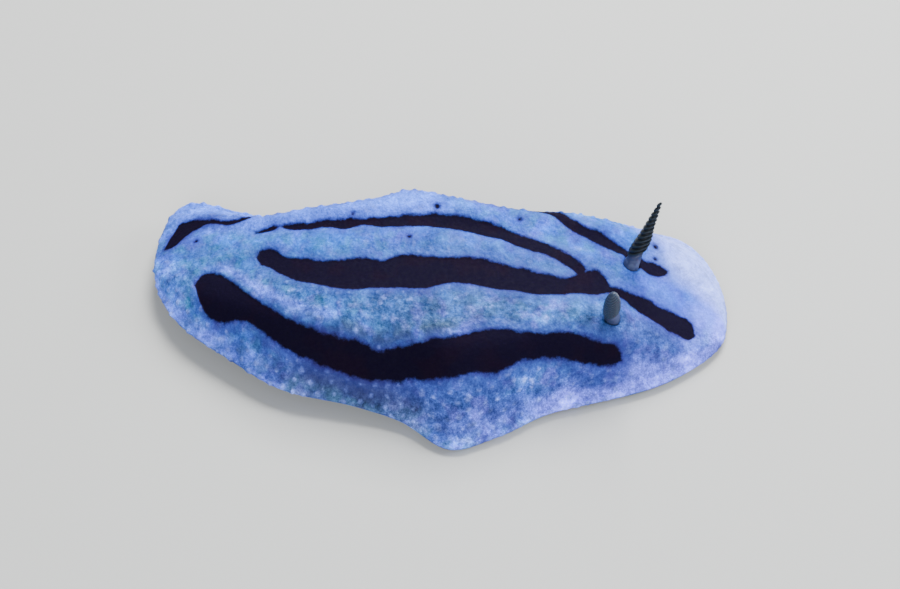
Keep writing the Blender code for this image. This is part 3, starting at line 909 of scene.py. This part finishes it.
# %% Pale and shaded places, spots and granules
# Pale sky, lavender and white, with a painted highlight along the crest beside the right stripe and
# painted light on the head's right rim
for name, paint in (("pale_sky_and_highlight", PALE_SKY_AND_HIGHLIGHT), ("pale", PALE_LAVENDER_AND_LIGHT), ("white", HEAD_WHITE)):
    base = skin.mix(skin.stored(name), base, paint)
shade_patches = skin.ramp(skin.noise(1.6, 2.0, seed=9), 0.36, 0.56)
base = skin.mix(skin.times(skin.stored("shade"), shade_patches), base, SHADE)
round_spots = skin.ramp(skin.cells(2.3, skin.warped(3.5, 0.35)), 0.08, 0.42, 1.0, 0.0)
some_spots = skin.ramp(skin.noise(1.3, 1.0, seed=21), 0.46, 0.62, 0.0, 0.6)
spots = skin.times(skin.times(round_spots, some_spots), flecks)
base = skin.mix(spots, base, SPOT_LAVENDER)
# Painted shade in the folds, and dark navy on the head
base = skin.mix(skin.stored("fold_shade_and_navy"), base, FOLD_SHADE_AND_NAVY)
# Painted shade on the low right rim
base = skin.mix(skin.stored("rim_shade"), base, RIM_SHADE_GREY)
base = skin.mix(skin.ramp(skin.stored("raised"), 0.12, 0.95, 0.0, 0.72), base, SPOT_LAVENDER)
print("with spots:", len(skin.tree.nodes), "nodes")

# %% Light and dark grain
CALM_SWING = 2.2
FLECKED_SWING = 3.6
BROAD_SWING = 2.0

contrast = skin.math("ADD", skin.times(flecks, FLECKED_SWING), CALM_SWING)
tone = skin.math("SUBTRACT", skin.noise(1.8, 5.0, 0.95, seed=7), 0.5)
broad = skin.times(skin.math("SUBTRACT", skin.noise(0.9, 1.0, seed=31), 0.5), flecks)
broad = skin.times(broad, BROAD_SWING)
tone = skin.math("ADD", skin.times(tone, contrast), broad)
base = skin.brighter(base, skin.math("POWER", math.e, tone))
base = skin.mix(skin.stored("below"), base, SOLE_GREY)
print("with grain:", len(skin.tree.nodes), "nodes")

# %% [markdown]
# ### The black, the gloss and the finest relief
# Outside the black the real skin turns from purple to deep blue over half a millimetre, so two soft
# veils come before the black itself. A little noise added to the stored distance makes the border
# ragged. The black is rougher than the blue, as velvet is, and has less relief.

# %% Stripes with a soft blue edge
RAGGED = 0.33
BLUE_EDGE = (-0.60, -0.05, 0.0, 0.42)
PURPLE_EDGE = (-0.14, 0.0, 0.0, 0.6)
BLACK_EDGE = (-0.05, 0.045)

ragged_noise = skin.math("SUBTRACT", skin.noise(2.0, 4.0, 0.75, seed=1), 0.5)
inside = skin.math("ADD", skin.stored("black"), skin.times(ragged_noise, RAGGED))
base = skin.mix(skin.ramp(inside, *BLUE_EDGE), base, EDGE_BLUE)
base = skin.mix(skin.ramp(inside, *PURPLE_EDGE), base, EDGE_PURPLE)
is_black = skin.ramp(inside, *BLACK_EDGE)
wine_patches = skin.ramp(skin.noise(1.1, 3.0, seed=17), 0.45, 0.65)
base = skin.mix(is_black, base, skin.mix(wine_patches, VELVET_BLACK, WINE_BLACK))
print("with stripes:", len(skin.tree.nodes), "nodes")

# %% Gloss, depth and bump of the skin
BLACK_ROUGHER = 0.3
BLACK_RELIEF = 0.4

grain = skin.noise(7.0, 3.0, 0.6, seed=5)
rough = skin.ramp(grain, 0.3, 0.7, 0.42, 0.58)
rough = skin.math("ADD", rough, skin.times(is_black, BLACK_ROUGHER))
skin.flesh(base, rough, weight=0.15, depth_mm=0.25)
skin.shader.inputs["Subsurface Radius"].default_value = (0.5, 0.6, 1.0)
skin.shader.inputs["Specular IOR Level"].default_value = 0.05
fine = skin.math("ADD", skin.times(skin.cells(8.0), -0.4), skin.noise(5.0, 3.0, 0.6, seed=2))
fine = skin.times(fine, skin.ramp(is_black, 0.0, 1.0, 1.0, BLACK_RELIEF))
skin.bump(fine, 0.06)
skin_mesh.materials.append(skin.material)
print("skin finish has", len(skin.tree.nodes), "nodes")

# %% The skin joins the model
skin_piece = add_object("skin", skin_mesh)
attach(skin_piece, "root")
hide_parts("mantle_head", "mantle_middle", "mantle_tail", "foot")
print("skin", [round(side / MM, 2) for side in skin_piece.dimensions], "mm")

# %% [markdown]
# ## Gill leaflets
# This family breathes with a row of thin leaflets under each side of the mantle. They can be made
# as one sheet with cuts, but each real leaflet is a small rounded flap of its own, so a squashed
# sphere is placed again and again along the groove, leaning a little and never twice the same.
# A leaflet is only a few dozen faces, because there are many and they are seen from below the rim.

# %% A row of leaflets on each side
GILL_STATIONS = {-1: (-8.0, 6.1), 1: (-8.1, 7.0)}
GILL_PITCH = 0.32
GILL_THICKNESS = 0.15
GILL_DEPTH = 0.50
GILL_OUTER_SHARE = {-1: 0.76, 1: 0.86}
GILL_CLEARANCE = 0.10
GILL_ROOT_GAP = 0.08
GILL_BURIED = 0.12
GILL_TAPER = 0.35
GILL_LEAN = (4, 22)
GILL_SEED = 11


def heading(x):
    """The angle by which the body's line is turned at one station, in radians."""
    return math.radians(float(station("turn", x)))


def add_leaflet(bm, here, side, draw):
    """One flap square to the body's line, rooted in the mantle's underside."""
    inner = float(foot_half_width(here)) + GILL_ROOT_GAP
    wide = float(half_width(here, side))
    outer = GILL_OUTER_SHARE[side] * wide
    middle = (inner + outer) / 2
    root = float(under_height(here, side * middle / wide))
    deep = min(GILL_DEPTH * draw.uniform(0.85, 1.15), root - GILL_CLEARANCE)
    reach = (outer - inner) / 2 * draw.uniform(0.85, 1.0)
    made = bmesh.ops.create_uvsphere(bm, u_segments=8, v_segments=8, radius=1)
    for v in made["verts"]:
        narrow = 1 - GILL_TAPER * max(0, -v.co.z)
        v.co.x *= GILL_THICKNESS / 2
        v.co.y *= reach * narrow
        v.co.z *= deep if v.co.z < 0 else GILL_BURIED
    turn = Matrix.Rotation(-heading(here), 4, "Z")
    lean = Matrix.Rotation(math.radians(draw.uniform(*GILL_LEAN)), 4, "Y")
    where = Matrix.Translation(Vector(place(here, side * middle, root)))
    bmesh.ops.transform(bm, matrix=where @ turn @ lean, verts=made["verts"])
    bmesh.ops.scale(bm, vec=(MM, MM, MM), verts=made["verts"])


bm = bmesh.new()
draw = random.Random(GILL_SEED)
leaflets = 0
for side, (first, last) in GILL_STATIONS.items():
    for place_x in np.arange(first, last, GILL_PITCH):
        add_leaflet(bm, place_x + draw.uniform(-0.05, 0.05), side, draw)
        leaflets += 1
gill_mesh = mesh_from(bm, "gill_leaflets")
print(leaflets, "leaflets")

# %% Finish of the leaflets, and their place in the model
GILL_GREY = colour(92, 104, 160)
GILL_PALE = colour(130, 136, 190)

gill = Finish("gill skin")
gill_base = gill.mix(gill.ramp(gill.noise(3.0, 2.0), 0.35, 0.7), GILL_GREY, GILL_PALE)
gill.flesh(gill_base, roughness=0.4, weight=0.3, depth_mm=0.3)
gill.bump(gill.noise(9.0, 2.0), 0.012)
gill_mesh.materials.append(gill.material)
gill_piece = add_object("gill_leaflets", gill_mesh)
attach(gill_piece, "root")
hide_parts("mantle_head", "mantle_middle", "mantle_tail")
print("gills ride on root")

# %% [markdown]
# ## Rhinophores
# These smell organs are a pale smooth stalk with a dark club. The club is a stack of thin plates
# that slope down towards the tail. A turned outline gives the plates, and a slope across the axis
# then tips them. The outline is spun in 32 steps, and each point keeps how far up the organ it is
# and whether it lies on a plate's edge or in a groove, so that the finish can follow the plates
# and paint a sheen on their edges.

# %% The turned outline of a rhinophore
PLATES = 12
PLATE_DEPTH = 0.075
PLATE_SLOPE = 41
SPIN_STEPS = 32
SAME_PLACE = 1e-4
# Radius at shares of the club's length
CLUB_OUTLINES = {
    "rhinophore_right": (
        (0, 0.25), (0.1, 0.29), (0.3, 0.305), (0.55, 0.28), (0.8, 0.21), (0.94, 0.14), (1, 0.09),
    ),
    "rhinophore_left": (
        (0, 0.27), (0.1, 0.30), (0.25, 0.285), (0.41, 0.22), (0.6, 0.168), (0.8, 0.12), (1, 0.065),
    ),
}
# Share of a plate's height, and how deep the groove is there
PLATE_PROFILE = ((0.0, 1.0), (0.22, 0.75), (0.45, 0.12), (0.60, 0.0), (0.78, 0.10), (0.90, 0.7))
SUNK = 0.35
STALK_ROWS = 8
STALK_TAPER = 0.22
STALK_RIPPLE = 0.02
TIP_EDGE = 0.6


def outline_points(name):
    """(radius, height, share of the length, edge) up the organ, from below the skin to the tip."""
    length = RHINOPHORES[name][-1]
    stalk_top = STALK_SHARE * length
    rows = []
    for i in range(STALK_ROWS + 1):
        t = i / STALK_ROWS
        radius = STALK_RADIUS * (1 - STALK_TAPER * t) + STALK_RIPPLE * math.sin(5 * t)
        rows.append((radius, -SUNK + (stalk_top + SUNK) * t, STALK_SHARE * t, 0.0))
    club = length - stalk_top
    for plate in range(PLATES):
        for part, depth in PLATE_PROFILE:
            t = (plate + part) / PLATES
            outer = float(smooth_through(CLUB_OUTLINES[name], t))
            radius = outer - PLATE_DEPTH * depth * (outer / STALK_RADIUS) ** 0.5
            share_up = STALK_SHARE + (1 - STALK_SHARE) * t
            rows.append((radius, stalk_top + club * t, share_up, 1 - depth))
    tip = rows[-1][0]
    rows.append((0.6 * tip, length + 0.3 * tip, 1.0, TIP_EDGE))
    rows.append((0.0, length + 0.45 * tip, 1.0, TIP_EDGE))
    return rows


print("outline has", len(outline_points("rhinophore_left")), "points")


# %% Spin it, slope the plates and stand it in its pocket
def rhinophore_stand(name):
    """The transform from the organ's own axes, +X forwards and +Z up its axis, to the body."""
    here, offset, lean, splay, _ = RHINOPHORES[name]
    side = math.copysign(1, offset)
    root = Vector(place(here, offset, back_height(here, offset / float(half_width(here, side)))))
    turn = heading(here)
    forward = Vector((math.cos(turn), -math.sin(turn), 0))
    outward = Vector((math.sin(turn), math.cos(turn), 0)) * side
    lean, splay = math.tan(math.radians(lean)), math.tan(math.radians(splay))
    up = (Vector((0, 0, 1)) + forward * lean + outward * splay).normalized()
    ahead = (forward - up * forward.dot(up)).normalized()
    axes = Matrix((ahead, up.cross(ahead), up)).transposed().to_4x4()
    return Matrix.Translation(root) @ axes


def rhinophore_mesh(name):
    """One closed organ, spun, its plates sloped, and stood on the body."""
    bm = bmesh.new()
    up_share = bm.verts.layers.float.new("up_share")
    plate_edge = bm.verts.layers.float.new("plate_edge")
    verts = []
    for radius, tall, share_up, edge in outline_points(name):
        v = bm.verts.new((radius, 0, tall))
        v[up_share], v[plate_edge] = share_up, edge
        verts.append(v)
    edges = [bm.edges.new(pair) for pair in zip(verts, verts[1:])]
    bmesh.ops.spin(
        bm, geom=verts + edges, axis=(0, 0, 1), cent=(0, 0, 0), angle=2 * math.pi,
        steps=SPIN_STEPS, use_merge=True,
    )
    bmesh.ops.remove_doubles(bm, verts=bm.verts, dist=SAME_PLACE)
    bmesh.ops.holes_fill(bm, edges=[e for e in bm.edges if e.is_boundary], sides=0)
    slope = math.tan(math.radians(PLATE_SLOPE))
    for v in bm.verts:
        on_club = min(1, max(0, (v[up_share] - 0.5 * STALK_SHARE) / (0.5 * STALK_SHARE)))
        v.co.z += v.co.x * slope * on_club
    bmesh.ops.recalc_face_normals(bm, faces=bm.faces)
    bmesh.ops.transform(bm, matrix=Matrix.Scale(MM, 4) @ rhinophore_stand(name), verts=bm.verts)
    return mesh_from(bm, name + "_organ")


rhinophore_pieces = {}
for name in RHINOPHORES:
    rhinophore_pieces[name] = add_object(name + "_organ", rhinophore_mesh(name))
    print(name, len(rhinophore_pieces[name].data.polygons), "faces")

# %% Finish of the rhinophores
STALK_COLOUR = colour(58, 66, 102)
STALK_PALE = colour(96, 104, 138)
STALK_SHADE = colour(56, 65, 102)
CLUB_DARK = colour(12, 18, 25)
CLUB_EDGE_SHEEN = colour(34, 46, 58)
LIGHTER_CLUB = colour(70, 85, 114)
# For each rhinophore, how much its club is made lighter and its stalk given painted shade
STALK_SHADE_AND_LIGHTER_CLUB = {"rhinophore_right": 0.45, "rhinophore_left": 0.0}
CLUB_START = STALK_SHARE + 0.02

feeler = Finish("rhinophore skin")
# Plate edges lighter than the grooves: a painted sheen on the plates
club_tone = feeler.mix(feeler.ramp(feeler.stored("plate_edge"), 0.35, 1.0), CLUB_DARK, CLUB_EDGE_SHEEN)
club_tone = feeler.mix(feeler.ramp(feeler.noise(5.0, 2.0), 0.45, 0.75, 0.0, 0.5), club_tone, CLUB_DARK)
# The right club is made lighter
club_tone = feeler.mix(feeler.stored("stalk_shade_and_lighter_club"), club_tone, LIGHTER_CLUB)
waver = feeler.times(feeler.noise(4.0, seed=4), 0.05)
height_up = feeler.math("ADD", feeler.stored("up_share"), waver)
stalk_tone = feeler.mix(feeler.ramp(feeler.noise(2.5, 2.0, seed=8), 0.4, 0.6), STALK_COLOUR, STALK_PALE)
# Painted shade on the right stalk
stalk_tone = feeler.mix(feeler.stored("stalk_shade_and_lighter_club"), stalk_tone, STALK_SHADE)
on_club = feeler.ramp(height_up, CLUB_START - 0.01, CLUB_START + 0.04)
feeler_base = feeler.mix(on_club, stalk_tone, club_tone)
feeler.flesh(feeler_base, roughness=0.42, weight=0.1, depth_mm=0.2)
feeler.shader.inputs["Specular IOR Level"].default_value = 0.25
feeler.bump(feeler.noise(16.0, 2.0), 0.006)
for name, piece in rhinophore_pieces.items():
    store(piece.data, "stalk_shade_and_lighter_club", np.full(len(piece.data.vertices), STALK_SHADE_AND_LIGHTER_CLUB[name]))
    piece.data.materials.append(feeler.material)
    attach(piece, "root")
    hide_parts(name)
print("rhinophores stand at", [RHINOPHORES[name][:2] for name in RHINOPHORES])

# %% [markdown]
# ## Oral tentacles and mouth
# Under the head, in front of the foot, two short flat lobes are fused along the middle, with the
# mouth as a small pore between them. They feel the ground in front of the animal. Two squashed
# spheres would show a crease, so one sphere is shaped: widened into two lobes, pinched between
# them and pressed in at the front.

# %% Shape the fused lobes
ORAL_X = 8.65
ORAL_HALF = (0.66, 0.92, 0.30)
ORAL_CENTRE_Z = 0.36
# In shares of the half sizes
LOBE_SWELL, LOBE_Y, LOBE_WIDTH = 0.25, 0.55, 0.3
CLEFT_DEPTH, CLEFT_PINCH, CLEFT_WIDTH = 0.42, 0.25, 0.16
PORE_DEPTH, PORE_WIDTH, PORE_Z, PORE_HEIGHT = 0.25, 0.12, -0.2, 0.25

bm = bmesh.new()
bmesh.ops.create_uvsphere(bm, u_segments=48, v_segments=24, radius=1)
for v in bm.verts:
    v.co.x += LOBE_SWELL * bell(abs(v.co.y), LOBE_Y, LOBE_WIDTH) * max(0, v.co.x)
    cleft = bell(v.co.y, 0, CLEFT_WIDTH)
    v.co.x -= CLEFT_DEPTH * cleft * max(0, v.co.x)
    v.co.z *= 1 - CLEFT_PINCH * cleft
    pore = bell(v.co.y, 0, PORE_WIDTH) * bell(v.co.z, PORE_Z, PORE_HEIGHT)
    v.co.x -= PORE_DEPTH * pore * max(0, v.co.x)
half_sizes = Matrix.Diagonal((*ORAL_HALF, 1))
oral_turn = Matrix.Rotation(-heading(ORAL_X), 4, "Z")
oral_place = Matrix.Scale(MM, 4) @ Matrix.Translation(Vector(place(ORAL_X, 0.0, ORAL_CENTRE_Z)))
bmesh.ops.transform(bm, matrix=oral_place @ oral_turn @ half_sizes, verts=bm.verts)
oral_mesh = mesh_from(bm, "oral_lobes")
print("oral lobes:", len(oral_mesh.polygons), "faces")

# %% Finish of the lobes, and their place in the model
ORAL_GREY = colour(104, 112, 168)
ORAL_PALE = colour(140, 144, 196)

oral = Finish("oral skin")
oral_base = oral.mix(oral.ramp(oral.noise(3.0), 0.4, 0.7), ORAL_GREY, ORAL_PALE)
oral.flesh(oral_base, roughness=0.4, weight=0.3, depth_mm=0.3)
oral.bump(oral.noise(10.0, 2.0), 0.01)
oral_mesh.materials.append(oral.material)
oral_piece = add_object("oral_lobes", oral_mesh)
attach(oral_piece, "root")
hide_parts("oral_tentacles")
print("oral lobes", [round(side / MM, 2) for side in oral_piece.dimensions], "mm")
